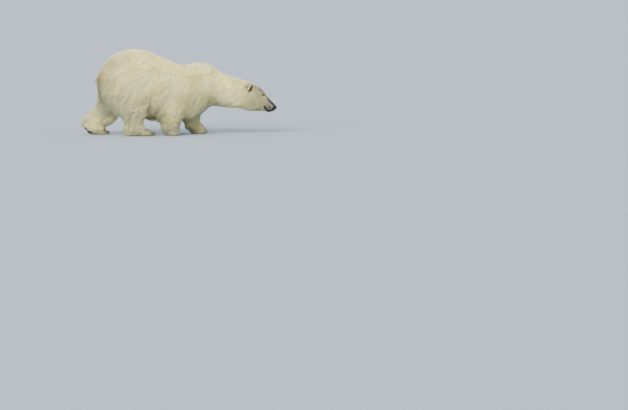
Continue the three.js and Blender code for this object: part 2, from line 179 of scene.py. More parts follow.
def cup_of_ear(points, side):
    """How far from the middle of the ear's cup each point lies, from 0 there to 1 at its rim."""
    out, across, up = ear_place(points, side)
    round_cup = np.hypot((across + CUP_IN * side) / CUP_HALF[0], (up - CUP_UP) / CUP_HALF[1])
    return round_cup + FAR * ramp(out, -0.004, -0.012)  # none on its back


def legs_near(points):
    """How far each point lies outside the nearest leg's radius, how far down that leg it is, from 0 at
    the hip or shoulder to 5 at the toes, and which way the leg runs there."""
    outside = np.full(len(points), FAR)
    stage = np.zeros(len(points))
    way = np.zeros((len(points), 3))
    for joints in LEGS.values():
        joints = np.array(joints) / 1000
        place, radius = joints[:, :3] + SKULL - SOLIDS_SKULL, joints[:, 3]
        runs = np.diff(place, axis=0)
        ways = unit(runs)
        ways = np.vstack([ways[:1], unit(ways[:-1] + ways[1:]), ways[-1:]])
        for i, run in enumerate(runs):
            t = np.clip((points - place[i]) @ run / (run @ run), 0, 1)
            away = np.linalg.norm(points - place[i] - t[:, None] * run, axis=1)
            away -= radius[i] + t * (radius[i + 1] - radius[i])
            near = away < outside
            outside[near] = away[near]
            stage[near] = (i + t)[near]
            way[near] = mixed(ways[i][None], ways[i + 1][None], t)[near]
    return outside, stage, way


def eye_axis(side):
    """Out of the head at the eye."""
    return unit(0.34 * ALONG + 0.88 * side * LEFT + 0.32 * ABOVE)


def eye_place(points, side):
    """The eye's own coordinates: out of the head, towards the nose and up."""
    out = eye_axis(side)
    level = math.cos(EYE_TURN) * ALONG + math.sin(EYE_TURN) * ABOVE
    forward = unit(level - out * (level @ out))
    up = np.cross(forward, out) * -side
    away = points - EYES[side]
    return away @ out, away @ forward, away @ up


def round_eye(points, side, breadth=1.0):
    """How far round the lids' almond opening each point lies, from 0 in its middle to 1 at its edge.
    Breadth draws its corners out."""
    sizes = bpy.context.scene.bear_face
    out, along, rise = eye_place(points, side)
    along, rise = 2 * along / (sizes.eye_length * breadth), 2 * rise / sizes.eye_height
    rise = rise + 0.25 * along  # the front corner is the lower
    almond = (np.abs(along) ** 1.7 + np.abs(rise) ** 1.7) ** (1 / 1.7)  # between a diamond and an oval
    return almond + FAR * ramp(-out, 0.0, 0.02)  # none on the other side of the head


def round_eyes(points, breadth=1.0):
    return np.minimum(round_eye(points, 1, breadth), round_eye(points, -1, breadth))


def from_mouth(points):
    """How far each point lies from the line of the mouth, seen from the side, and whether it is above."""
    along, _, above = skull_place(points)
    place = np.stack([along, above], 1)
    nearest = np.full(len(points), FAR)
    over = np.zeros(len(points))
    for a, b in zip(MOUTH[:-1], MOUTH[1:]):
        t = np.clip((place - a) @ (b - a) / ((b - a) @ (b - a)), 0, 1)
        away = place - a - t[:, None] * (b - a)
        far = np.linalg.norm(away, axis=1)
        near = far < nearest
        nearest[near] = far[near]
        over[near] = (away @ np.array([a[1] - b[1], b[0] - a[0]]))[near]
    return nearest, over > 0


# ---- Sizes and colours that a user may change ----
def amount(name, default, description, kind=bpy.props.FloatProperty, **settings):
    return kind(name=name, description=description, default=default, **settings)


def length(name, default, description):
    return amount(name, default, description, unit="LENGTH")


def factor(name, default, description):
    return amount(name, default, description, subtype="FACTOR")


def angle(name, degrees, description):
    return amount(name, math.radians(degrees), description, subtype="ANGLE")


def whole(name, default, description):
    return amount(name, default, description, bpy.props.IntProperty)


def triple(name, default, description):
    return amount(name, default, description, bpy.props.FloatVectorProperty, subtype="TRANSLATION")


def zone(name, depth, lock_length, breadth):
    """Three sizes of the coat in one part of the body."""
    return triple(name, (depth, lock_length, breadth), "Depth over the skin, length and breadth of a lock")


def colour(name, code, description):
    return amount(name, code, description, bpy.props.StringProperty)


class BearSkin(bpy.types.PropertyGroup):
    """How the skin is drawn from the solids"""

    mesh_size: length("Mesh size", 0.0100, "Width of the skin's faces away from the face")
    body_smoothing: whole("Body smoothing", 45, "Passes that round the trunk and legs")
    head_smoothing: whole("Head smoothing", 10, "Passes that round the head and feet")


class BearFace(bpy.types.PropertyGroup):
    """The eyes, lids, mouth and nose"""

    eye_radius: length("Eyeball radius", 0.0130, "Radius of the eyeball")
    eye_length: length("Eye length", 0.027, "Between the corners of the lids")
    eye_height: length("Eye height", 0.0135, "Between the upper and the lower lid")
    lid_thickness: length("Lid thickness", 0.0022, "Of the lids over the eyeball")
    lid_breadth: amount("Bare lid", 1.35, "Bare rim's height over the opening's")
    lip_breadth: length("Bare lip", 0.0095, "Bare black skin on each side of the mouth")
    mouth_depth: length("Mouth crease", 0.005, "Depth of the crease between the lips")
    nose_radii: triple("Nose", (0.025, 0.031, 0.024), "Half of its length, breadth and height")
    nostril_depth: length("Nostril depth", 0.011, "How far a nostril goes in")


class BearCoat(bpy.types.PropertyGroup):
    """The coat's depth and the sizes of its locks, by parts of the body"""

    long_locks: whole("Long locks", 272000, "Locks of the body, legs and tail")
    short_locks: whole("Short locks", 74000, "Locks of the head")
    body: zone("Back and sides", 0.020, 0.062, 0.0038)
    neck: zone("Neck", 0.017, 0.054, 0.0036)
    belly: zone("Belly", 0.026, 0.085, 0.0042)
    haunch: zone("Haunches", 0.022, 0.070, 0.0040)
    leg: zone("Legs", 0.016, 0.052, 0.0036)
    leg_back: zone("Backs of the legs", 0.019, 0.070, 0.0038)
    foot: zone("Feet", 0.009, 0.030, 0.0030)
    tail: zone("Tail", 0.013, 0.055, 0.0036)
    head: zone("Head", 0.008, 0.024, 0.0032)
    face: zone("Face", 0.0045, 0.015, 0.0023)
    muzzle: zone("Muzzle", 0.0024, 0.010, 0.0019)
    ear: zone("Ears", 0.0035, 0.015, 0.0022)
    clump: amount("Clump", 0.42, "Distance between clumps, over a lock's length")
    gather: factor("Gather", 0.24, "Share of the way that tips lean to their clump's middle")
    streak: factor("Streaks", 0.17, "Rise and fall of the long streaks along the coat, over its depth")
    seed: whole("Seed", 7, "Of the coat's scatter")


class BearColours(bpy.types.PropertyGroup):
    """sRGB hex colours of the coat, skin and horn"""

    tip: colour("Tips", "#F8F4BC", "Outer ends of the fur")
    # Roots darker and yellower than the tips: painted shade deep in the coat.
    root: colour("Roots", "#F1E8A2", "Fur near the skin")
    warm: colour("Warm", "#F0DFA0", "Yellowed patches of the coat")
    ochre: colour("Ochre", "#D8BC58", "Stains on the tail and feet")
    # Over the face this grey is partly painted shade, and between the thighs it is painted shade alone.
    grey: colour("Grey", "#787860", "Thin fur of the face and ears, over dark skin")
    # Brown also paints shade: in the creases beside the tail, behind the ears and in the ears' cups.
    brown: colour("Brown", "#5C4C3A", "Dirt on the forehead and muzzle")
    black: colour("Black", "#100F12", "Bare skin of the nose, lips, lids and pads")
    iris: colour("Iris", "#0B0705", "Ring round the pupil")
    horn: colour("Horn", "#2A2421", "Claws")
    floor: colour("Floor", "#AAB6C2", "Studio floor")


class BearStudio(bpy.types.PropertyGroup):
    """Camera and lights"""

    azimuth: angle("Azimuth", -10, "Of the camera round the bear")
    elevation: angle("Elevation", 4, "Of the camera over the horizon")
    view_width: length("View width", 7.222, "Width that the camera takes in at the bear")
    look_right: length("Look right", 1.527, "Middle of the view, right of the bear's")
    look_up: length("Look up", -0.810, "Middle of the view, above the bear's feet")
    distance: length("Distance", 50, "From the camera to the bear")
    key: amount("Key light", 3.4, "Its strength")
    low: amount("Low light", 6.0, "Strength of the low front light")
    fill: amount("Fill light", 1.3, "Strength of the surroundings")


# ---- Materials ----
SHARE, FIRST, SECOND, BLENDED = 0, 6, 7, 2  # the sockets of a colour mix
KERATIN, CORNEA = 1.54, 1.376  # how strongly they bend light


def linear(code):
    """A linear RGBA colour from an sRGB hex code."""
    parts = [int(code[i : i + 2], 16) / 255 for i in (1, 3, 5)]
    return [c / 12.92 if c <= 0.04045 else ((c + 0.055) / 1.055) ** 2.4 for c in parts] + [1.0]


def plug(tree, node, inputs):
    """Sets the node's inputs to values, or links them to sockets or to the first sockets of nodes."""
    for key, value in inputs.items():
        if isinstance(value, bpy.types.Node):
            value = value.outputs[0]
        if isinstance(value, bpy.types.NodeSocket):
            tree.links.new(value, node.inputs[key])
        else:
            node.inputs[key].default_value = value


def add_node(tree, kind, inputs=None, **settings):
    """A shader node of that kind with its settings, and its inputs set or linked."""
    node = tree.nodes.new("ShaderNode" + kind)
    for key, value in settings.items():
        setattr(node, key, value)
    plug(tree, node, inputs or {})
    return node


def new_material(name):
    """A node material, with its node tree and the place of each point on the piece."""
    material = bpy.data.materials.new(name)
    material.use_nodes = True
    tree = material.node_tree
    return material, tree, add_node(tree, "TexCoord").outputs["Object"]


def shaded(material, inputs):
    """The material with its shader's inputs set or linked."""
    tree = material.node_tree
    plug(tree, tree.nodes["Principled BSDF"], inputs)
    return material


def fur_colour(tree, where):
    """The coat's markings: fur from root to tip, its roots darker with painted shade deep in the coat, warm
    patches, stains, grey, brown and black, the grey and brown partly painted shade. The second result holds
    what is marked on the piece."""
    hues = bpy.context.scene.bear_colours
    marked = {name: add_node(tree, "Attribute", attribute_name=name).outputs["Fac"]
              for name in ("along", "tint", *MARKS)}
    # Yellowed patches some 200 mm across, and uneven fur 30 mm across.
    patches = add_node(tree, "TexNoise", {"Vector": where, "Scale": 5.0, "Detail": 2.0})
    uneven = add_node(tree, "TexNoise", {"Vector": where, "Scale": 34.0, "Detail": 2.0})
    patchy = add_node(tree, "MapRange", {
        "Value": patches, "From Min": 0.42, "From Max": 0.68, "To Max": 0.55})
    streaky = add_node(tree, "MapRange", {
        "Value": uneven, "From Min": 0.3, "From Max": 0.75, "To Min": 0.86, "To Max": 1.05})
    layers = [(marked["along"], hues.tip, "MIX"), (patchy, hues.warm, "MULTIPLY")]
    layers += [(marked[name], getattr(hues, name), "MIX") for name in MARKS]
    fur = linear(hues.root)
    for share, code, way in layers:
        fur = add_node(tree, "Mix", {SHARE: share, FIRST: fur, SECOND: linear(code)},
                       data_type="RGBA", blend_type=way).outputs[BLENDED]
    shade = add_node(tree, "Math", {
        0: marked["tint"], 1: streaky}, operation="MULTIPLY")
    lit = add_node(tree, "HueSaturation", {"Value": shade, "Color": fur})
    return lit, marked


def fur_material():
    """Polar bear fur: clear hollow hairs that look cream in the mass, matt with a faint sheen."""
    material, tree, where = new_material("cream_fur_hollow_hair")
    return shaded(material, {
        "Base Color": fur_colour(tree, where)[0], "Roughness": 0.62, "IOR": KERATIN,
        "Specular IOR Level": 0.25, "Sheen Weight": 0.25, "Sheen Roughness": 0.5})


def skin_material():
    """Hide under dense underfur, with bare black skin on the lips and lids, moist and finely creased."""
    material, tree, where = new_material("hide_with_dense_underfur")
    base, marked = fur_colour(tree, where)
    # Underfur stands in wisps 4 mm across, and bare skin is creased every 1.5 mm or so.
    wisps = add_node(tree, "TexNoise", {"Vector": where, "Scale": 250.0, "Detail": 3.0})
    creases = add_node(tree, "TexVoronoi", {"Vector": where, "Scale": 650.0})
    relief = add_node(tree, "Mix", {
        0: marked["black"], 2: wisps, 3: creases}, data_type="FLOAT")
    bump = add_node(tree, "Bump", {
        "Height": relief, "Strength": 0.4, "Distance": 0.0006})
    rough = add_node(tree, "MapRange", {"Value": marked["black"], "To Min": 0.85, "To Max": 0.55})
    return shaded(material, {
        "Base Color": base, "Roughness": rough, "Specular IOR Level": 0.22,
        "Normal": bump})


def leather_material(name, pebble_mm, roughness):
    """Black bare skin, grown in pebbles of that size: the nose is moist, and the pads are worn dull."""
    hues = bpy.context.scene.bear_colours
    material, tree, where = new_material(name)
    pebbles = add_node(tree, "TexVoronoi", {"Vector": where, "Scale": 1000 / pebble_mm})
    # Grime lies in smears some 10 mm across.
    grime = add_node(tree, "TexNoise", {"Vector": where, "Scale": 90.0, "Detail": 4.0})
    share = add_node(tree, "MapRange", {
        "Value": grime, "From Min": 0.5, "From Max": 0.8, "To Max": 0.15})
    base = add_node(tree, "Mix", {
        SHARE: share, FIRST: linear(hues.black), SECOND: linear(hues.brown)},
        data_type="RGBA")
    bump = add_node(tree, "Bump", {
        "Height": pebbles, "Strength": 0.6, "Distance": 0.0006}, invert=True)
    shine = add_node(tree, "MapRange", {
        "Value": grime, "To Min": roughness - 0.08, "To Max": roughness + 0.12})
    return shaded(material, {
        "Base Color": base.outputs[BLENDED], "Roughness": shine,
        "Normal": bump, "Specular IOR Level": 0.35})


def eye_material():
    """A wet eye: a dark brown iris round a black pupil, under the clear cornea's sharp gloss."""
    iris = bpy.context.scene.bear_colours.iris
    material, tree, where = new_material("wet_eye_dark_iris")
    from_pupil = add_node(tree, "Attribute", attribute_name="from_pupil").outputs["Fac"]
    ring = add_node(tree, "ValToRGB", {"Fac": from_pupil})
    stops = ring.color_ramp.elements
    stops[0].position, stops[0].color = 0.20, linear("#050404")
    stops[1].position, stops[1].color = 0.26, linear(iris)
    for place, code in ((0.50, iris), (0.60, "#060504"), (1.0, "#0E0A09")):
        stops.new(place).color = linear(code)
    # The iris has fibres about 0.4 mm apart.
    fibres = add_node(tree, "TexNoise", {"Vector": where, "Scale": 2500.0, "Detail": 2.0})
    base = add_node(tree, "Mix", {
        SHARE: 0.35, FIRST: ring, SECOND: fibres.outputs["Color"]},
        data_type="RGBA", blend_type="MULTIPLY")
    return shaded(material, {
        "Base Color": base.outputs[BLENDED], "Roughness": 0.05, "IOR": CORNEA, "Specular IOR Level": 0.22})


def horn_material():
    """Claw horn: keratin grown in fine lengthwise layers, nearly black, worn paler at the tip."""
    horn = bpy.context.scene.bear_colours.horn
    material, tree, where = new_material("claw_horn_worn")
    along = add_node(tree, "Attribute", attribute_name="along").outputs["Fac"]
    # Growth lines about 1 mm apart.
    lines = add_node(tree, "TexNoise", {"Vector": where, "Scale": 1000.0, "Detail": 2.0})
    worn = add_node(tree, "MapRange", {
        "Value": along, "From Min": 0.55, "From Max": 1.0, "To Max": 0.5})
    base = add_node(tree, "Mix", {
        SHARE: worn, FIRST: linear(horn), SECOND: linear("#7A6A58")}, data_type="RGBA")
    bump = add_node(tree, "Bump", {
        "Height": lines, "Strength": 0.3, "Distance": 0.0004})
    return shaded(material, {
        "Base Color": base.outputs[BLENDED], "Normal": bump, "Roughness": 0.36,
        "IOR": KERATIN})


def paint_material():
    """Matt studio paint, rolled on, with a stipple a few millimetres across."""
    material, tree, where = new_material("matt_studio_paint")
    stipple = add_node(tree, "TexNoise", {"Vector": where, "Scale": 200.0})
    bump = add_node(tree, "Bump", {
        "Height": stipple, "Strength": 0.05, "Distance": 0.001})
    return shaded(material, {
        "Normal": bump, "Base Color": linear(bpy.context.scene.bear_colours.floor),
        "Roughness": 0.9, "Specular IOR Level": 0.1})


# ---- Mesh tools ----
def pick(*pieces):
    """Selects these pieces alone, the last of them active."""
    bpy.ops.object.select_all(action="DESELECT")
    for piece in pieces:
        piece.select_set(True)
    bpy.context.view_layer.objects.active = pieces[-1]


def edit():
    bpy.ops.object.mode_set(mode="EDIT")


def leave():
    bpy.ops.object.mode_set(mode="OBJECT")


def pick_faces(piece, chosen):
    """Opens the piece in edit mode with only the chosen faces selected."""
    pick(piece)
    edit()
    bpy.ops.mesh.select_mode(type="FACE")
    bpy.ops.mesh.select_all(action="DESELECT")
    leave()
    piece.data.polygons.foreach_set("select", chosen)
    edit()


def apply_modifier(piece, kind, **settings):
    modifier = piece.modifiers.new(kind, kind)
    for key, value in settings.items():
        setattr(modifier, key, value)
    pick(piece)
    bpy.ops.object.modifier_apply(modifier=modifier.name)


def rows(items, field, columns, kind=np.float32):
    """One field of a mesh's vertices, faces or corners, a row for each."""
    values = np.empty(len(items) * columns, kind)
    items.foreach_get(field, values)
    return values.reshape(-1, columns).astype(float if kind == np.float32 else kind)


def surface(piece):
    """Where its vertices are, and which way each faces."""
    return rows(piece.data.vertices, "co", 3), rows(piece.data.vertex_normals, "vector", 3)


def move_vertices(piece, points):
    piece.data.vertices.foreach_set("co", points.astype(np.float32).ravel())
    piece.data.update()


def weigh(piece, name, weights):
    """A vertex group with those weights, in steps of a twentieth."""
    group = piece.vertex_groups.new(name=name)
    steps = np.round(weights * 20).astype(int)
    for step in range(1, 21):
        group.add(np.flatnonzero(steps == step).tolist(), step / 20, "REPLACE")
    return name


def mark(mesh, name, values):
    mesh.attributes.new(name, "FLOAT", "POINT").data.foreach_set("value", np.asarray(values, np.float32))


def merged_copy(node):
    """A loose copy of a solid, its triangles joined up."""
    piece = NODES[node].copy()
    piece.data = piece.data.copy()
    piece.parent = None
    for key in [key for key in piece.keys() if key.startswith("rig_")]:
        del piece[key]
    bpy.context.scene.collection.objects.link(piece)
    pick(piece)
    edit()
    bpy.ops.mesh.select_all(action="SELECT")
    bpy.ops.mesh.remove_doubles(threshold=1e-6)
    leave()
    return piece


def join(pieces, name):
    """All of them as one mesh, with its place in the mesh."""
    pick(*pieces)
    if len(pieces) > 1:
        bpy.ops.object.join()
    piece = bpy.context.object
    bpy.ops.object.transform_apply(location=True, rotation=True, scale=True)
    piece.name = piece.data.name = name
    piece.data.materials.clear()
    return piece


CRUMB = 40  # a shell with fewer corners than this is one


def without_crumbs(piece):
    """The piece without the crumbs that a remesh leaves along thin edges."""
    name = piece.name
    pick(piece)
    bpy.ops.mesh.separate(type="LOOSE")
    shells = list(bpy.context.selected_objects)
    for shell in [shell for shell in shells if len(shell.data.vertices) < CRUMB]:
        shells.remove(shell)
        bpy.data.objects.remove(shell)
    return join(shells, name)


def finish_piece(piece, material, replaced=()):
    """Its material, and what it stands for on the bear."""
    piece.data.materials.clear()
    piece.data.materials.append(material)
    pick(piece)
    bpy.ops.object.shade_smooth()
    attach(piece, "root")
    if replaced:
        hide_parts(*replaced)


def unwrap(piece, layer):
    """Unwraps the selected faces of the piece that is open in edit mode into that UV map."""
    maps = piece.data.uv_layers
    maps.active = maps.get(layer) or maps.new(name=layer)
    bpy.ops.uv.smart_project(angle_limit=math.radians(66), island_margin=0.002)


# ---- The coat's lie, sizes and markings ----
LID_REACH = 1.25  # the bare lids reach past the corners of the eye


def near_ear(points):
    """How surely each point belongs to an ear, away from its root in the head."""
    shares = []
    for side in (1, -1):
        up = ear_place(points, side)[2]
        shares.append(ramp(ear_shell(points, side), 1.25, 1.0) * ramp(up, -0.030, 0.005))
    return np.maximum(*shares)


def near_tail(points):
    return ramp(np.linalg.norm((points - TAIL) / TAIL_HALF, axis=1), 1.25, 0.85)


def coat_at(points, normals):
    """The coat's depth, and the length and breadth of its locks, a row for each place on the skin."""
    coat = bpy.context.scene.bear_coat
    x, _, z = points.T
    along, _, _ = skull_place(points)
    outside, stage, _ = legs_near(points)
    leg = ramp(outside, 0.09, 0.02) * ramp(stage, 0.5, 1.2)
    foot = leg * np.maximum(ramp(stage, 2.5, 3.2), ramp(z, 0.15, 0.06))
    parts = (
        (coat.haunch, ramp(x, -0.45, -0.65)),
        (coat.belly, ramp(-normals[:, 2], 0.15, 0.70)),
        (coat.neck, ramp(x, 0.34, 0.52)),
        (coat.leg, leg),
        (coat.leg_back, leg * ramp(-normals[:, 0], 0.1, 0.7)),
        (coat.foot, foot),
        (coat.tail, near_tail(points)),
        (coat.head, ramp(along, -0.22, -0.07)),
        (coat.face, ramp(along, 0.03, 0.09)),
        (coat.muzzle, ramp(along, 0.10, 0.18)),
        (coat.ear, near_ear(points)),
    )
    sizes = np.tile(coat.body, (len(points), 1))
    for size, share in parts:
        sizes = mixed(sizes, np.array(size)[None], share)
    # Only stubble grows close to the lids, on the lips and on the sole.
    lid = round_eyes(points, LID_REACH)
    lip, _ = from_mouth(points)
    sole = ramp(-normals[:, 2], 0.4, 0.8) * ramp(z, 0.045, 0.025) * foot
    short = 1 - (1 - ramp(lid, 2.6, 1.2)) * (1 - 0.7 * ramp(lip, 0.020, 0.008)) * (1 - sole)
    sizes = mixed(sizes, sizes * np.array([[0.35, 0.5, 0.8]]), short)
    return sizes * np.stack([1 - 0.6 * lifted_sole(points), np.ones_like(x), np.ones_like(x)], 1)


def lie_at(points, normals):
    """Which way the coat lies on the skin at each point."""
    x, y, z = points.T
    along, left, above = skull_place(points)
    outside, stage, way = legs_near(points)
    # Back along the spine, steeper down the sides, down over the rump, and flatter on the neck.
    drop = mixed(np.full(len(x), 1.7), np.full(len(x), 0.2), ramp(z, 0.35, 0.86))
    drop = (drop + 1.3 * ramp(x, -0.72, -0.95)) * (1 - 0.55 * ramp(x, 0.35, 0.55))
    lie = unit(np.stack([-np.ones_like(x), np.zeros_like(x), -drop], 1))
    lie = mixed(lie, way, ramp(stage, 0.45, 1.1) * ramp(outside, 0.10, 0.03))
    cheek = ramp(above, 0.03, -0.08)
    face = unit(-ALONG[None] - (0.15 + 0.5 * cheek)[:, None] * UP)
    lie = mixed(lie, face, ramp(along, -0.20, -0.04))
    out = np.sign(y)[:, None] * LEFT
    lie = mixed(lie, unit(0.9 * ABOVE - 0.35 * ALONG + 0.3 * out), near_ear(points))
    lie = mixed(lie, np.array([[-0.15, 0.0, -1.0]]), near_tail(points))
    # Gentle whorls, from 0.2 to 0.6 m across.
    turn = 0.16 * (np.sin(9.1 * x + 5.3 * z + 1.0) * np.sin(7.7 * z - 4.1 * y)
                   + 0.7 * np.sin(21.0 * x - 13.0 * z + 8.0 * y + 2.0))
    lie = unit(lie - normals * np.sum(lie * normals, axis=1, keepdims=True))
    across = np.cross(normals, lie)
    return lie * np.cos(turn)[:, None] + across * np.sin(turn)[:, None]


MARKS = ("ochre", "grey", "brown", "black")  # each is painted over those before it


def marks_at(points, normals):
    """How strong each of the coat's markings is at each point, from 0 to 1."""
    sizes = bpy.context.scene.bear_face
    x, y, z = points.T
    along, left, above = skull_place(points)
    outside, stage, _ = legs_near(points)
    uneven = 0.5 + 0.5 * np.sin(31 * x + 17 * y + 3) * np.sin(27 * z - 19 * y + 11 * x)
    # Ochre stains on the rump, round the tail and on the lower feet.
    tail = near_tail(points) * (0.75 + 0.25 * uneven)
    foot = ramp(stage, 1.8, 2.8) * ramp(outside, 0.08, 0.03) * (
        0.6 * ramp(z, 0.030, 0.008) + 0.12 * uneven * ramp(z, 0.20, 0.05))
    rump = 0.8 * ramp(x, -0.84, -0.92) * ramp(np.abs(y), 0.15, 0.06) * between(z, 0.36, 0.56, 0.74, 0.86)
    ochre = np.maximum.reduce([tail, foot, rump])
    # The face is greyer, partly because its short fur lets the dark skin through and partly as painted shade
    # on the face. The inner thighs are greyed with painted shade between the legs.
    grey = (0.72 * ramp(along, -0.17, 0.0) + 0.26 * ramp(along, 0.09, 0.17)) * (0.85 + 0.2 * uneven)
    shade_between_thighs = ramp(-normals[:, 1] * np.sign(y), 0.2, 0.7) * between(x, -0.98, -0.88, -0.70, -0.60)
    grey = np.maximum(grey, 0.5 * shade_between_thighs * between(z, 0.20, 0.28, 0.44, 0.52))
    cup = np.minimum(cup_of_ear(points, 1), cup_of_ear(points, -1))
    grey = mixed(grey, 0.75 * ramp(cup, 1.0, 1.5), near_ear(points))
    # Dirt on the forehead, dark fur on the muzzle's bridge and whisker pads, painted shade behind the ears,
    # and painted
    #     shade in the hollows of the ears' cups.
    upward = normals @ ABOVE
    dirt = (0.55 + 0.3 * uneven) * between(along, -0.02, 0.012, 0.080, 0.105) * ramp(upward, 0.58, 0.95)
    bridge = ramp(along, 0.100, 0.155) * ramp(upward, 0.18, 0.68)
    whiskers = spot(along, above, (0.220, -0.008), (0.032, 0.023))
    shade_behind_ear = 0.75 * spot(along, above, (-0.150, 0.0), (0.012, 0.018)) * (np.abs(left) > 0.11)
    # Painted shade in the crease down each side of the tail, running on below it.
    shade_beside_tail = hump(np.abs(y), 0.056, 0.011) * between(z, 0.46, 0.56, 0.66, 0.74)
    below = 0.6 * ramp(np.abs(y), 0.05, 0.0) * between(z, 0.36, 0.46, 0.50, 0.56)
    crease = ramp(x, -0.80, -0.88) * np.maximum(0.85 * shade_beside_tail, below)
    brown = np.maximum.reduce([crease, dirt, bridge, 0.5 * whiskers, shade_behind_ear, 0.75 * ramp(cup, 0.95, 0.6)])
    # Bare black skin on the lids, the lips and their corner, the nose and the lifted sole, and black painted
    # shade deep in the ears' cups.
    lid = round_eyes(points, LID_REACH)
    lip, _ = from_mouth(points)
    corner = np.hypot(along - MOUTH[0, 0] - 0.004, above - MOUTH[0, 1] - 0.001)
    lips = np.maximum(ramp(lip, sizes.lip_breadth * 1.9, sizes.lip_breadth * 0.9), ramp(corner, 0.019, 0.010))
    lids = ramp(lid, sizes.lid_breadth * 1.5, sizes.lid_breadth * 1.12)
    front = ramp(along, 0.236, 0.256)
    ridge = ramp(along, 0.135, 0.195) * ramp(upward, 0.28, 0.72)
    black = np.maximum.reduce([lips, lids, front, 0.9 * ridge, 0.80 * whiskers, 0.5 * ramp(cup, 0.8, 0.4),
                               lifted_sole(points)])
    return np.stack([ochre, grey, brown, black])


def lifted_sole(points):
    """How surely each point lies on the bare sole of the trailing hind foot, whose heel is off the floor."""
    heel, ball = (np.array(LEGS["hind_left"][i][:3]) / 1000 + SKULL - SOLIDS_SKULL for i in (HEEL, BALL))
    run = unit(ball - heel)
    away = points - heel
    along = away @ run
    below = away @ unit(np.cross(LEFT, run))
    return ramp(below - 0.5 * np.maximum(along + 0.04, 0), 0.002, 0.034) * ramp(np.abs(along), 0.12, 0.09)


def bare_at(points):
    """Where no fur grows: in the eyes, on the lips, under the nose and on the lifted sole."""
    sizes = bpy.context.scene.bear_face
    lid = round_eyes(points, LID_REACH)
    lip, _ = from_mouth(points)
    along, _, above = skull_place(points)
    under_nose = (along > 0.252) & (above > 0.005)
    lips = lip < sizes.lip_breadth * 0.55
    return (lifted_sole(points) > 0.5) | (lid < sizes.lid_breadth) | lips | under_nose


# Places along the bear from the rump to the brow, and how far its back rises over the smoothed solids
# at each, in metres.
BACK_LINE = (
    (-0.95, -0.80, -0.715, -0.60, -0.36, -0.29, -0.22, -0.11, -0.03, 0.044, 0.15, 0.29, 0.43, 0.55, 0.69,
     0.78, 0.87, 0.94, 1.0),
    (0, -0.018, -0.012, 0, -0.010, -0.012, -0.004, 0.016, 0.010, -0.006, 0, 0.010, 0.013, 0.002, 0.013,
     0.0, -0.009, -0.005, 0),
)


# ---- Pieces ----
SOCKET = 0.018  # radius of the ball that the lids are drawn from
FOLD_OUT, FOLD_REACH, FOLD_DEPTH = 0.030, 0.015, 0.012  # of the fold along the edge of a leg
CUP_DEPTH, CUP_RIM = 0.026, 0.004  # of the ear
HOLLOW_DEPTH, BROW_HEIGHT = 0.004, 0.0035  # in front of the eye, and over it
LID_BEHIND = 0.80  # of the eyeball's radius, where the skin lies behind the eyeball
UPPER_LIP, LOWER_LIP = 0.0016, 0.0010  # how full each is


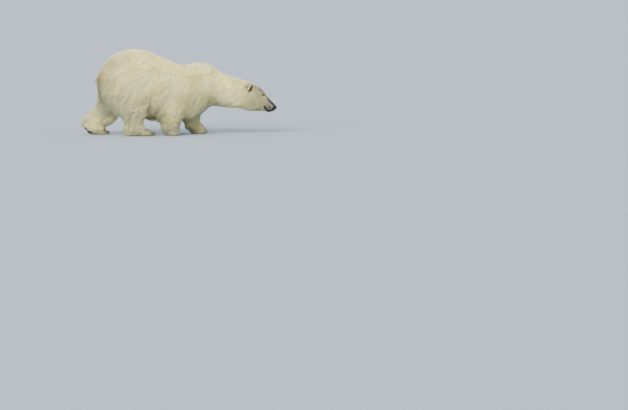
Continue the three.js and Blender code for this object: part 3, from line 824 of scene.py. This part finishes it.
class BEAR_OT_skin(bpy.types.Operator):
    """One skin over the whole bear, inside the solids by the depth of its coat"""

    bl_idname = "bear.skin"
    bl_label = "Skin"

    def execute(self, context):
        sizes = context.scene.bear_skin
        parts = []
        for node in FLESH:
            part = merged_copy(node)
            points, normals = surface(part)
            move_vertices(part, points + 0.001 * normals)  # closes the cuts of 0.6 mm between them
            parts.append(part)
        for side in EYES:  # a ball for the lids in each socket
            bpy.ops.mesh.primitive_uv_sphere_add(radius=SOCKET, location=EYES[side])
            parts.append(bpy.context.object)
        skin = join(parts, "skin")
        apply_modifier(skin, "REMESH", mode="VOXEL", voxel_size=sizes.mesh_size)
        points, _ = surface(skin)
        along, _, _ = skull_place(points)
        outside, stage, _ = legs_near(points)
        foot = ramp(stage, 2.4, 3.2) * ramp(outside, 0.10, 0.03)
        leg = ramp(stage, 0.6, 1.6) * ramp(outside, 0.10, 0.03)
        firm = np.maximum.reduce([foot, 0.5 * leg, ramp(along, -0.22, -0.12), near_tail(points)])
        weights = 1 - firm * (1 - sizes.head_smoothing / sizes.body_smoothing)
        apply_modifier(skin, "SMOOTH", factor=0.5, iterations=sizes.body_smoothing,
                       vertex_group=weigh(skin, "body", weights))
        self.divide(skin)
        points, normals = surface(skin)
        # Each leg stands clear of the flank, with a fold along its edge, but not behind the thighs.
        outside, stage, _ = legs_near(points)
        fold = hump(outside, FOLD_OUT, FOLD_REACH) * ramp(stage, 0.05, 0.4) * ramp(stage, 1.5, 1.1)
        fold *= ramp(np.abs(normals[:, 1]), 0.45, 0.75) * ramp(points[:, 0], -0.62, -0.54)
        depth = coat_at(points, normals)[:, 0] + FOLD_DEPTH * fold
        move_vertices(skin, points - normals * depth[:, None])
        # The line of the back, from the croup by the withers to the head.
        points, normals = surface(skin)
        rise = np.interp(points[:, 0], *BACK_LINE)
        points[:, 2] += rise * ramp(normals[:, 2], 0.0, 0.6) * ramp(points[:, 2], 0.40, 0.55)
        move_vertices(skin, points)
        self.sculpt(context, skin)
        points, normals = surface(skin)
        for name, values in zip(MARKS, marks_at(points, normals)):
            mark(skin.data, name, values)
        mark(skin.data, "along", np.full(len(points), 0.25))  # the colour of fur near its root, with its painted shade deep in the coat
        mark(skin.data, "tint", np.ones(len(points)))
        pick_faces(skin, np.ones(len(skin.data.polygons), bool))
        unwrap(skin, "OFBake")
        leave()
        skin.vertex_groups.clear()
        finish_piece(skin, skin_material(), FLESH)
        return {"FINISHED"}

    def divide(self, skin):
        """Smaller faces on the face, and the smallest round the eyes and along the mouth."""
        for step in range(3):
            centres = rows(skin.data.polygons, "center", 3)
            along, left, above = skull_place(centres)
            if step < 2:
                reach = 1.5 / EAR_GROWTH
                chosen = (ear_shell(centres, 1) < reach) | (ear_shell(centres, -1) < reach)
                chosen |= (along > -0.04) & (step == 0)
            if step > 0:
                from_eye = np.min([np.linalg.norm(centres - EYES[side], axis=1) for side in EYES], axis=0)
                reach = 0.038 / step
                near_mouth = (from_mouth(centres)[0] < 0.6 * reach) & (along > 0.12)
                chosen = (from_eye < reach) | near_mouth | (chosen if step == 1 else False)
            pick_faces(skin, chosen)
            bpy.ops.mesh.subdivide(number_cuts=1)
            leave()
        points, _ = surface(skin)
        apply_modifier(skin, "SMOOTH", factor=0.5, iterations=6, vertex_group=weigh(
            skin, "face", ramp(skull_place(points)[0], -0.06, -0.02)))

    def sculpt(self, context, skin):
        """Lids, lips and the hollows of the face."""
        sizes = context.scene.bear_face
        points, normals = surface(skin)
        for side in EYES:
            out, forward, rise = eye_place(points, side)
            near = np.linalg.norm(points - EYES[side], axis=1)
            # The head is pinched in front of the eye, and stands over it as a brow.
            hollow = spot(forward, rise, (0.030, -0.006), (0.020, 0.018))
            brow = spot(forward, rise, (0.0, 0.021), (0.026, 0.010))
            facing = (out > -0.01) & (near < 0.08)
            points -= normals * (facing * (HOLLOW_DEPTH * hollow - BROW_HEIGHT * brow))[:, None]
            ring = round_eye(points, side)
            away = points - EYES[side]
            lid = sizes.eye_radius + sizes.lid_thickness
            # Lids hug the eyeball, and the skin between them lies behind it.
            opening = round_eye(EYES[side] + unit(away) * lid, side)
            depth = mixed(np.full(len(ring), sizes.eye_radius * LID_BEHIND), np.full(len(ring), lid),
                          ramp(opening, 0.94, 1.10))
            share = ramp(ring, 2.3, 1.35) * (out > 0) * (near < 0.045)
            points = mixed(points, EYES[side] + unit(away) * depth[:, None], share)
            # The ear grows, leans forwards and is hollowed to a cup with a raised rim.
            ear = ramp(ear_shell(points, side, leaning=False), 1.9, 1.1)
            points = points + (EAR_GROWTH - 1) * ear[:, None] * (points - ear_middle(side))
            up = ear_place(points, side, leaning=False)[2]
            points = points + (EAR_LEAN * ear * np.maximum(up - EAR_FOOT, 0))[:, None] * [1, 0, 0]
            face = ear_axis(side)
            cup = cup_of_ear(points, side)
            carve = CUP_DEPTH * ramp(cup, 1.0, 0.25) - CUP_RIM * hump(cup, 1.2, 0.22)
            points -= face * (carve * ramp(normals @ face, -0.2, 0.2))[:, None]
        move_vertices(skin, points)
        points, normals = surface(skin)
        lip, over = from_mouth(points)
        along = skull_place(points)[0]
        crease = sizes.mouth_depth * hump(lip, 0, 0.0028)
        full = np.where(over, UPPER_LIP, LOWER_LIP) * hump(lip, 0.0065, 0.004)
        points += normals * ((full - crease) * ramp(along, 0.150, 0.175))[:, None]
        move_vertices(skin, points)


COAT_PARTS = (
    "coat_muzzle", "coat_face", "coat_head", "coat_tail", "coat_fore_legs", "coat_hind_leg_left",
    "coat_hind_leg_right", "coat_neck", "coat_shoulders", "coat_barrel", "coat_croup_left",
    "coat_croup_right",
)
HEAD_PARTS = 3  # the first of them, which have the short locks


def coat_part(points):
    """The place in that row of the coat's piece that each point belongs to: the first that takes it."""
    x, y, z = points.T
    along = skull_place(points)[0]
    outside, stage, _ = legs_near(points)
    leg = (outside < 0.06) & (stage > 1.3)
    every = np.ones(len(points), bool)
    tests = (along > 0.13, along > 0.0, along > -0.17, near_tail(points) > 0.5, leg & (x > -0.25),
             leg & (y > 0), leg, x > 0.30, x > -0.12, x > -0.50, y > 0, every)
    return np.select(tests, range(len(tests)))


# A lock has three corners round its root and one at its tip: a cap, and three sides. Each side has its
# own strip of the lock's patch in the UV map, and the cap a corner of it.
LOCK_FACES = ((2, 1, 0), (0, 1, 3), (1, 2, 3), (2, 0, 3))
LOCK_PATCH = [(0.4, 0.4), (0.5, 0.4), (0.5, 0.5)] + [
    place for side in range(3)
    for place in ((-0.5, side / 3 - 0.5), (-0.5, (side + 1) / 3 - 0.5), (0.5, (side + 0.5) / 3 - 0.5))]
PATCH_SIZE = 0.003  # of that patch in the UV map
LOCK_SET = 0.0008  # how deep a lock's root is set in the skin
LOWEST_FUR = 0.0006  # over the floor
ROOT_BREADTH = 0.75  # of a lock at its root, over its full breadth
SPREAD = {"turn": 0.06, "lift": 0.09, "clump": 0.10, "length": 0.12, "tint": 0.04}  # how locks differ


class BEAR_OT_coat(bpy.types.Operator):
    """Locks of fur over the whole skin, along the lie of the coat"""

    bl_idname = "bear.coat"
    bl_label = "Coat"

    def execute(self, context):
        skin = bpy.data.objects["skin"]
        coat = context.scene.bear_coat
        random = np.random.default_rng(coat.seed)
        part_of_face = coat_part(rows(skin.data.polygons, "center", 3))
        for part in range(len(COAT_PARTS)):
            pick_faces(skin, part_of_face == part)
            unwrap(skin, "by_part")  # the whole map for each piece
            leave()
        roots = self.scatter(skin, coat, random, part_of_face)
        skin.data.uv_layers.remove(skin.data.uv_layers["by_part"])
        self.comb(coat, random, roots)
        material = fur_material()
        for part, name in enumerate(COAT_PARTS):
            chosen = roots["part"] == part
            piece = self.locks(name, {key: value[chosen] for key, value in roots.items()})
            finish_piece(piece, material)
        return {"FINISHED"}

    def scatter(self, skin, coat, random, part_of_face):
        """Where each lock grows, with its facing, sizes, piece and place in that piece's UV map."""
        mesh = skin.data
        mesh.calc_loop_triangles()
        corners = rows(mesh.loop_triangles, "vertices", 3, np.int32)
        loops = rows(mesh.loop_triangles, "loops", 3, np.int32)
        face = rows(mesh.loop_triangles, "polygon_index", 1, np.int32)[:, 0]
        points, normals = surface(skin)
        flat = rows(mesh.uv_layers["by_part"].data, "uv", 2)
        a, b, c = (points[corners[:, i]] for i in range(3))
        area = np.linalg.norm(np.cross(b - a, c - a), axis=1) / 2
        centre = (a + b + c) / 3
        sizes = coat_at(centre, unit(normals[corners].sum(axis=1)))
        crowd = area / (sizes[:, 1] * sizes[:, 2]) * ~bare_at(centre)
        short = part_of_face[face] < HEAD_PARTS
        for kind, locks in ((short, coat.short_locks), (~short, coat.long_locks)):
            crowd[kind] *= locks / crowd[kind].sum()
        count = coat.short_locks + coat.long_locks
        total = np.cumsum(crowd)
        draw = (np.arange(count) + random.random(count)) / count * total[-1]
        triangle = np.minimum(np.searchsorted(total, draw), len(total) - 1)
        share = random.random((count, 2))
        folded = share.sum(axis=1) > 1
        share[folded] = 1 - share[folded]
        share = np.column_stack([1 - share.sum(axis=1), share])[:, :, None]
        roots = {
            "at": (points[corners[triangle]] * share).sum(axis=1),
            "normal": unit((normals[corners[triangle]] * share).sum(axis=1)),
            "uv": (flat[loops[triangle]] * share).sum(axis=1),
            "part": part_of_face[face[triangle]],
        }
        roots["sizes"] = coat_at(roots["at"], roots["normal"])
        roots["room"] = (area / np.maximum(crowd, 1e-12))[triangle]  # for one lock
        return roots

    def comb(self, coat, random, roots):
        """The way each lock lies, gathered into clumps, with its rise, tint and markings."""
        at, normal = roots["at"], roots["normal"]
        count = len(at)
        lie = lie_at(at, normal)
        spacing = coat.clump * roots["sizes"][:, 1]
        leaders = np.flatnonzero(random.random(count) < roots["room"] / spacing**2)
        tree = KDTree(len(leaders))
        for i, leader in enumerate(leaders):
            tree.insert(at[leader], i)
        tree.balance()
        clump = np.array([tree.find(place)[1] for place in at])
        step = roots["sizes"][:, 1] * 0.22
        streak = self.drawn_out(at, lie, step, random.normal(0, 1, len(leaders))[clump])
        turn = random.normal(0, SPREAD["turn"], len(leaders))[clump] + random.normal(0, SPREAD["turn"], count)
        turn = turn[:, None]
        across = np.cross(normal, lie)
        lie = lie * np.cos(turn) + across * np.sin(turn)
        streak *= 1 + 0.6 * ramp(at[:, 0], -0.40, -0.70)  # the haunches are the shaggiest
        lift = 1 + coat.streak * streak + random.normal(0, SPREAD["lift"], count)
        stretch = 1 + random.normal(0, SPREAD["clump"], len(leaders))[clump]
        stretch = stretch + random.normal(0, SPREAD["length"], count)
        roots["depth"] = roots["sizes"][:, 0] * np.clip(lift, 0.45, 1.3)
        roots["length"] = roots["sizes"][:, 1] * np.clip(stretch, 0.6, 1.4)
        tip = at + lie * roots["length"][:, None]
        leader = leaders[clump]
        same_side = np.sum(normal * normal[leader], axis=1) > 0.3
        pull = (tip[leader] - tip) * (coat.gather * same_side)[:, None]
        roots["pull"] = pull - normal * np.sum(pull * normal, axis=1, keepdims=True)
        roots["lie"] = lie
        # Lifted streaks are tinted a little lighter and sunken ones darker: painted light and shade along the
        # streaks. The rest of the tint is random tone.
        tint = 1 + 0.05 * streak + random.normal(0, SPREAD["tint"], count)
        roots["tint"] = np.clip(tint, 0.75, 1.15)
        roots["marks"] = marks_at(at, normal).T

    def drawn_out(self, at, lie, step, values):
        """Values spread along the lie of the coat, so that they draw out into streaks eight steps long."""
        tree = KDTree(len(at))
        for i, place in enumerate(at):
            tree.insert(place, i)
        tree.balance()
        ahead = np.array([tree.find(place)[1] for place in at + lie * step[:, None]])
        for _ in range(3):
            values = (values + values[ahead]) / 2
            ahead = ahead[ahead]
        return (values - values.mean()) / values.std()

    def locks(self, name, roots):
        """Closed three-sided locks as one mesh."""
        at, normal, lie = roots["at"], roots["normal"], roots["lie"]
        count, along = len(at), [0, 0, 0, 1]
        root = at - normal * LOCK_SET
        half = roots["sizes"][:, 2:] / 2 * ROOT_BREADTH
        across = np.cross(normal, lie)
        tip = at + lie * roots["length"][:, None] + normal * roots["depth"][:, None] + roots["pull"]
        corners = [root + across * half, root + normal * half * 0.5, root - across * half, tip]
        corners = np.stack(corners, axis=1)
        corners[..., 2] = np.maximum(corners[..., 2], LOWEST_FUR)
        each = np.arange(count)[:, None]
        mesh = bpy.data.meshes.new(name)
        mesh.vertices.add(count * len(along))
        mesh.vertices.foreach_set("co", corners.astype(np.float32).ravel())
        mesh.loops.add(count * 12)
        mesh.loops.foreach_set("vertex_index", (np.ravel(LOCK_FACES) + len(along) * each).ravel())
        mesh.polygons.add(count * 4)
        mesh.polygons.foreach_set("loop_start", np.arange(count * 4) * 3)
        patch_middle = np.clip(roots["uv"], PATCH_SIZE / 2, 1 - PATCH_SIZE / 2)
        flat = patch_middle[:, None] + np.array(LOCK_PATCH) * PATCH_SIZE
        mesh.uv_layers.new(name="OFBake").data.foreach_set("uv", flat.astype(np.float32).ravel())
        mark(mesh, "along", np.tile(along, count))
        mark(mesh, "tint", np.repeat(roots["tint"], len(along)))
        for mark_name, values in zip(MARKS, roots["marks"].T):
            mark(mesh, mark_name, np.repeat(values, len(along)))
        mesh.update(calc_edges=True)
        piece = bpy.data.objects.new(name, mesh)
        bpy.context.scene.collection.objects.link(piece)
        return piece


CORNEA_ANGLE, CORNEA_BULGE = 0.3, 0.0011  # its edge, in radians from the pupil, and its height


class BEAR_OT_eyes(bpy.types.Operator):
    """Both eyeballs, each with the bulge of its cornea"""

    bl_idname = "bear.eyes"
    bl_label = "Eyes"

    def execute(self, context):
        sizes = context.scene.bear_face
        for side, word in ((1, "left"), (-1, "right")):
            out = Vector(eye_axis(side))
            turn = out.to_track_quat("Z", "Y").to_euler()
            bpy.ops.mesh.primitive_uv_sphere_add(
                segments=32, ring_count=24, radius=sizes.eye_radius, location=EYES[side], rotation=turn)
            eye = join([bpy.context.object], "eyeball_" + word)
            points, _ = surface(eye)
            from_pupil = np.arccos(np.clip(unit(points - EYES[side]) @ np.array(out), -1, 1))
            pick_faces(eye, np.zeros(len(eye.data.polygons), bool))
            bpy.ops.mesh.select_mode(type="VERT")
            leave()
            eye.data.vertices.foreach_set("select", from_pupil < CORNEA_ANGLE)
            edit()
            bpy.ops.transform.translate(
                value=out * CORNEA_BULGE, use_proportional_edit=True, proportional_edit_falloff="SMOOTH",
                proportional_size=0.0055)
            leave()
            mark(eye.data, "from_pupil", from_pupil)
            finish_piece(eye, eye_material(), ["eye_" + word])
        return {"FINISHED"}


NOSE_ALONG, NOSE_ABOVE = 0.270, 0.033  # from the middle of the skull


class BEAR_OT_nose(bpy.types.Operator):
    """The nose leather, with its nostrils and the groove below it"""

    bl_idname = "bear.nose"
    bl_label = "Nose"

    def execute(self, context):
        sizes = context.scene.bear_face
        length, breadth, height = sizes.nose_radii
        balls = (  # along and above the skull's middle, half of each size, and pitch
            (NOSE_ALONG, NOSE_ABOVE, (length, breadth, height), 0),
            (0.254, 0.043, (length * 1.15, breadth * 0.9, height * 0.65), -8),
            (0.273, 0.006, (length * 0.58, breadth * 0.38, height), 0),
        )
        parts = []
        for along, above, radii, pitch in balls:
            bpy.ops.mesh.primitive_uv_sphere_add(
                location=from_skull(along, 0, above), scale=radii,
                rotation=(0, MUZZLE_DROP + math.radians(pitch), 0))
            parts.append(bpy.context.object)
        nose = join(parts, "nose_leather")
        apply_modifier(nose, "REMESH", mode="VOXEL", voxel_size=0.0013)
        apply_modifier(nose, "SMOOTH", factor=0.5, iterations=24)
        points, normals = surface(nose)
        along, left, above = skull_place(points)
        along, above = along - NOSE_ALONG, above - NOSE_ABOVE
        side = np.abs(left)
        front = ramp(normals @ ALONG, 0.05, 0.45)
        # Round nostrils, each open to the side by a slit that curves back.
        from_nostril = side - breadth * 0.44
        hole = (from_nostril / 0.0062) ** 2 + ((above + 0.001) / 0.0056) ** 2
        slit_line = -0.003 - 0.22 * from_nostril
        slit = hump(above, slit_line, 0.0017) * ramp(side, breadth * 0.5, breadth * 0.62)
        groove = hump(left, 0, 0.0013) * ramp(above, 0.006, -0.004)
        rim = hump(np.sqrt(hole), 1.45, 0.35)
        dent = (sizes.nostril_depth * np.exp(-hole**2) * front + 0.004 * slit * ramp(along, -0.022, -0.010)
                + 0.0018 * groove - 0.0012 * rim * front)
        cobbles = np.sin(900 * left + 400 * along) * np.sin(820 * above - 500 * along)
        inward = unit(mixed(normals, np.tile(ALONG, (len(points), 1)), front * (hole < 2)))
        move_vertices(nose, points - inward * dent[:, None] + normals * 0.0002 * cobbles[:, None])
        finish_piece(nose, leather_material("moist_nose_leather", 1.6, 0.42), ["nose"])
        return {"FINISHED"}


CLAW_RADIUS, CLAW_REACH, CLAW_BEND = 0.0052, 0.046, math.radians(50)
CLAW_STEPS, CLAW_TAPER, CLAW_BLUNT = 8, 1.6, 0.22  # rings to the tip, how late it thins, least shrinking


class BEAR_OT_claws(bpy.types.Operator):
    """One bent claw, copied to every toe"""

    bl_idname = "bear.claws"
    bl_label = "Claws"

    def execute(self, context):
        bpy.ops.mesh.primitive_circle_add(
            vertices=12, radius=CLAW_RADIUS, fill_type="NGON", rotation=(0, math.pi / 2, 0))
        model = join([bpy.context.object], "claw")
        edit()
        bpy.ops.mesh.select_all(action="SELECT")
        bpy.ops.mesh.normals_make_consistent(inside=False)
        place = Vector((0, 0, 0))
        for step in range(CLAW_STEPS):
            droop = CLAW_BEND * (step + 0.5) / CLAW_STEPS
            stride = Vector((math.cos(droop), 0, -math.sin(droop))) * CLAW_REACH / CLAW_STEPS
            place = place + stride
            bpy.ops.mesh.extrude_region_move(TRANSFORM_OT_translate={"value": stride})
            bpy.ops.transform.rotate(value=CLAW_BEND / CLAW_STEPS, orient_axis="Y", center_override=place)
            before, after = (1 - (ring / CLAW_STEPS) ** CLAW_TAPER for ring in (step, step + 1))
            shrink = max(after / max(before, 1e-3), CLAW_BLUNT)
            bpy.ops.transform.resize(value=[shrink] * 3, center_override=place)
        leave()
        points, _ = surface(model)
        tip = points[:, 0].argmax()
        mark(model.data, "along", np.clip(points[:, 0] / points[tip, 0], 0, 1))
        material = horn_material()
        for foot in FEET:
            nodes = sorted(name for name in NODES if name.startswith(foot) and "claw" in name)
            claws = []
            for node in nodes:
                low, high = (Vector(corner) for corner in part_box(node))
                claw = model.copy()
                claw.data = model.data.copy()
                context.scene.collection.objects.link(claw)
                claw.location = Vector((high.x, (low.y + high.y) / 2, low.z)) - Vector(points[tip])
                claws.append(claw)
            piece = join(claws, "claws_" + foot)
            finish_piece(piece, material, nodes)
        bpy.data.objects.remove(model)
        return {"FINISHED"}


class BEAR_OT_pads(bpy.types.Operator):
    """The worn leather pads that the bear stands on"""

    bl_idname = "bear.pads"
    bl_label = "Pads"

    def execute(self, context):
        material = leather_material("worn_pad_leather", 2.2, 0.62)
        for node in PADS:
            pad = join([merged_copy(node)], "leather_" + node)
            apply_modifier(pad, "REMESH", mode="VOXEL", voxel_size=0.0016)
            pad = without_crumbs(pad)
            apply_modifier(pad, "SMOOTH", factor=0.5, iterations=20)
            points, _ = surface(pad)
            x, y, z = points.T
            pebbled = 0.0004 * np.sin(2100 * x) * np.sin(1900 * y) * (z > 0.003)  # 3 mm apart
            points[:, 2] = np.maximum(z + pebbled, 0)
            move_vertices(pad, points)
            finish_piece(pad, material, [node])
        return {"FINISHED"}


# Each broad light's name, setting, tilt from overhead, turn, softness in degrees and colour.
SUNS = (("key_light", "key", 60, -26, 30, "#FFF8E8"), ("low_fill", "low", 84, -38, 60, "#FFFAF0"))
FLOOR_WIDTH = 600  # so that its edge lies beyond every view


class BEAR_OT_studio(bpy.types.Operator):
    """Pale floor, soft light and the camera"""

    bl_idname = "bear.studio"
    bl_label = "Studio"

    def execute(self, context):
        studio = context.scene.bear_studio
        bpy.ops.mesh.primitive_plane_add(size=FLOOR_WIDTH)
        floor = bpy.context.object
        bpy.ops.object.transform_apply(location=True, rotation=True, scale=True)
        floor.name = floor.data.name = "floor"
        floor.data.materials.append(paint_material())

        world = bpy.data.worlds.new("studio_air")
        context.scene.world = world
        world.use_nodes = True
        plug(world.node_tree, world.node_tree.nodes["Background"], {
            "Color": linear("#DDE5F0"), "Strength": studio.fill})

        for name, strength, tilt, turn, softness, code in SUNS:
            bpy.ops.object.light_add(type="SUN", rotation=(math.radians(tilt), 0, math.radians(turn)))
            sun = bpy.context.object
            sun.name = sun.data.name = name
            sun.data.energy = getattr(studio, strength)
            sun.data.angle = math.radians(softness)
            sun.data.color = linear(code)[:3]

        azimuth, elevation = studio.azimuth, studio.elevation
        right = Vector((math.cos(azimuth), math.sin(azimuth), 0))
        ahead = Vector((-math.sin(azimuth) * math.cos(elevation), math.cos(azimuth) * math.cos(elevation),
                        -math.sin(elevation)))
        up = right.cross(ahead)
        aim = right * studio.look_right + up * studio.look_up
        bpy.ops.object.camera_add(
            location=aim - ahead * studio.distance, rotation=ahead.to_track_quat("-Z", "Y").to_euler())
        camera = bpy.context.object
        camera.name = camera.data.name = "camera"
        camera.data.sensor_width = 36  # millimetres
        camera.data.lens = camera.data.sensor_width * studio.distance / studio.view_width
        camera.data.clip_end = FLOOR_WIDTH
        context.scene.camera = camera
        return {"FINISHED"}


# ---- The add-on ----
SETTINGS = {
    "bear_skin": BearSkin, "bear_face": BearFace, "bear_coat": BearCoat,
    "bear_colours": BearColours, "bear_studio": BearStudio,
}
STEPS = (
    BEAR_OT_skin, BEAR_OT_coat, BEAR_OT_eyes, BEAR_OT_nose, BEAR_OT_claws, BEAR_OT_pads, BEAR_OT_studio,
)


class BEAR_PT_panel(bpy.types.Panel):
    """The bear's pieces, in the order they are made"""

    bl_label = "Walking Polar Bear"
    bl_idname = "BEAR_PT_panel"
    bl_space_type = "VIEW_3D"
    bl_region_type = "UI"
    bl_category = "Polar Bear"

    def draw(self, context):
        for step in STEPS:
            self.layout.operator(step.bl_idname)


def register():
    for kind in (*SETTINGS.values(), *STEPS, BEAR_PT_panel):
        bpy.utils.register_class(kind)
    for name, kind in SETTINGS.items():
        setattr(bpy.types.Scene, name, bpy.props.PointerProperty(type=kind))


def unregister():
    for name in SETTINGS:
        delattr(bpy.types.Scene, name)
    for kind in reversed((*SETTINGS.values(), *STEPS, BEAR_PT_panel)):
        bpy.utils.unregister_class(kind)


def main():
    register()
    for step in STEPS:
        getattr(bpy.ops.bear, step.bl_idname.split(".")[1])()


if __name__ == "__main__":
    main()
